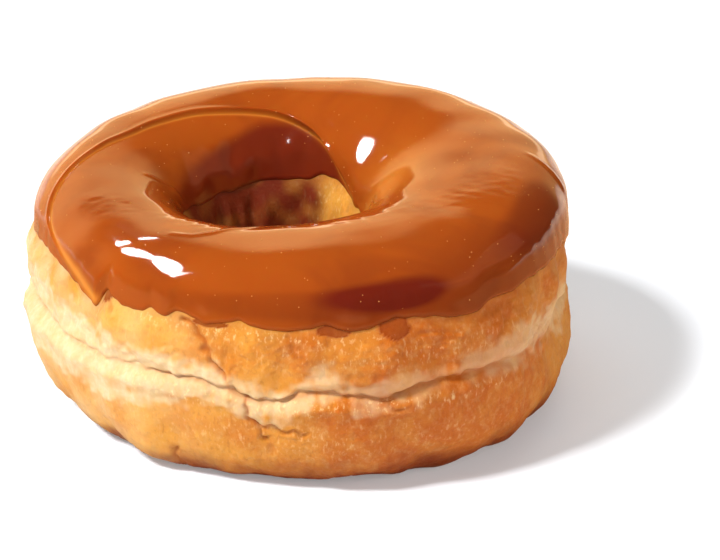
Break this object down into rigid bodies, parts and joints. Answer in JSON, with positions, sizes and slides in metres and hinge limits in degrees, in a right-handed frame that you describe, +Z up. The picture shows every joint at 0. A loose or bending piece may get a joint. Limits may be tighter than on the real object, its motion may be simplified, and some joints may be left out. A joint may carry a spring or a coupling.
{
  "type": "doughnut",
  "caption": "Risen ring doughnut of fried dough with a thick, glossy maple glaze that folds over itself in a ledge and drips a little down the side.",
  "frame": {"origin": "on the surface the doughnut stands on, under the middle of its bounding box", "axes": "+Z up through the ring; -Y towards the side the picture shows; +X to that picture's right"},
  "size_m": [0.0888, 0.0888, 0.0419],
  "materials": {
    "fried_crust": "golden fried crust with a pale seam",
    "maple_glaze": "wet-looking caramel glaze"
  },
  "bodies": {
    "root": {"dough_ring": "fried_crust", "maple_glaze": "maple_glaze"}
  },
  "joints": []
}
